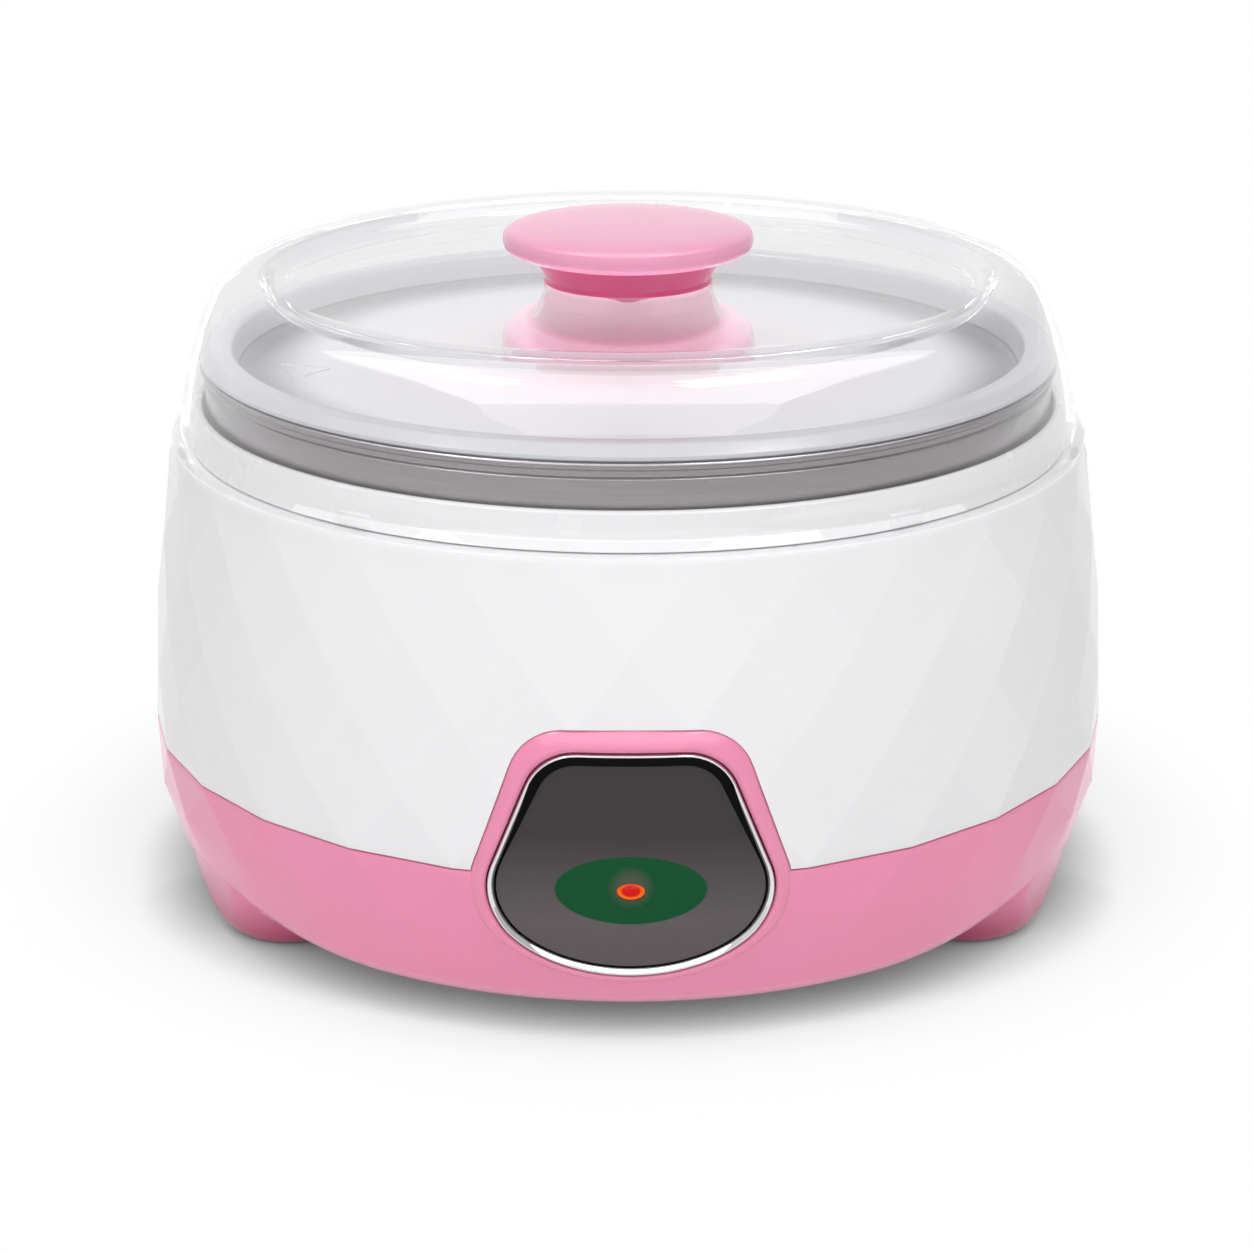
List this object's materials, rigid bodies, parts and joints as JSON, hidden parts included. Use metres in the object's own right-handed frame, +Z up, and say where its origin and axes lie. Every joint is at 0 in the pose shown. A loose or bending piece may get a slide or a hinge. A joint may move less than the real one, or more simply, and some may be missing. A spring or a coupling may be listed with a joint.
{
  "type": "yogurt maker",
  "caption": "Small round electric yogurt maker with faceted shell, footed base, lamp panel, lift-out steel pot, inner lid and clear domed lid with knob",
  "frame": {"origin": "On the vertical axis of the body, at the floor under the feet.", "axes": "+Z up, the lamp panel faces -Y, the mains inlet faces +Y, +X to the right seen from the front."},
  "size_m": [0.1886, 0.1889, 0.1328],
  "materials": {
    "white_plastic": "glossy moulded",
    "pink_plastic": "satin moulded",
    "clear_plastic": "clear polished",
    "frosted_plastic": "translucent",
    "stainless_steel": "fine brushed",
    "zinc_plated_steel": "bright plated",
    "chrome": "polished",
    "smoked_plastic": "glossy smoked",
    "red_lens": "glossy tinted",
    "rubber": "matte",
    "aluminium": "satin",
    "heater_ceramic": "matte fired",
    "fuse_casing": "glazed",
    "brass": "plated",
    "black_plastic": "matte moulded",
    "circuit_board": "lacquered",
    "terminal_plastic": "moulded",
    "red_wire": "insulated",
    "blue_wire": "insulated"
  },
  "bodies": {
    "housing": {"base_screw_front": "zinc_plated_steel", "base_screw_left": "zinc_plated_steel", "base_screw_right": "zinc_plated_steel", "base_shell": "pink_plastic", "clip_screw": "zinc_plated_steel", "element_wire_live": "red_wire", "element_wire_neutral": "blue_wire", "foot_pad_left": "rubber", "foot_pad_rear": "rubber", "foot_pad_right": "rubber", "fuse_clip": "zinc_plated_steel", "fuse_wire": "red_wire", "heater_element": "heater_ceramic", "heater_plate": "aluminium", "heater_strap": "zinc_plated_steel", "indicator_lens": "red_lens", "inlet_pin_left": "brass", "inlet_pin_right": "brass", "inlet_socket": "black_plastic", "inlet_wire_live": "red_wire", "inlet_wire_neutral": "blue_wire", "inner_well": "white_plastic", "lamp_board": "circuit_board", "lamp_wire_live": "red_wire", "lamp_wire_neutral": "blue_wire", "panel_bezel": "chrome", "panel_window": "smoked_plastic", "strap_screw_left": "zinc_plated_steel", "strap_screw_right": "zinc_plated_steel", "terminal_block": "terminal_plastic", "thermal_fuse": "fuse_casing", "upper_housing": "white_plastic"},
    "inner_pot": {"inner_pot": "stainless_steel"},
    "inner_lid": {"inner_lid": "frosted_plastic"},
    "outer_lid": {"outer_lid": "clear_plastic", "lid_knob": "pink_plastic", "knob_washer": "zinc_plated_steel", "knob_screw": "zinc_plated_steel"}
  },
  "joints": [
    {"name": "pot_lift", "type": "slide", "parent": "housing", "child": "inner_pot", "axis": [0, 0, 1], "range_m": [0, 0.075]},
    {"name": "inner_lid_lift", "type": "slide", "parent": "inner_pot", "child": "inner_lid", "axis": [0, 0, 1], "range_m": [0, 0.04]},
    {"name": "outer_lid_lift", "type": "slide", "parent": "inner_lid", "child": "outer_lid", "axis": [0, 0, 1], "range_m": [0, 0.06]}
  ]
}
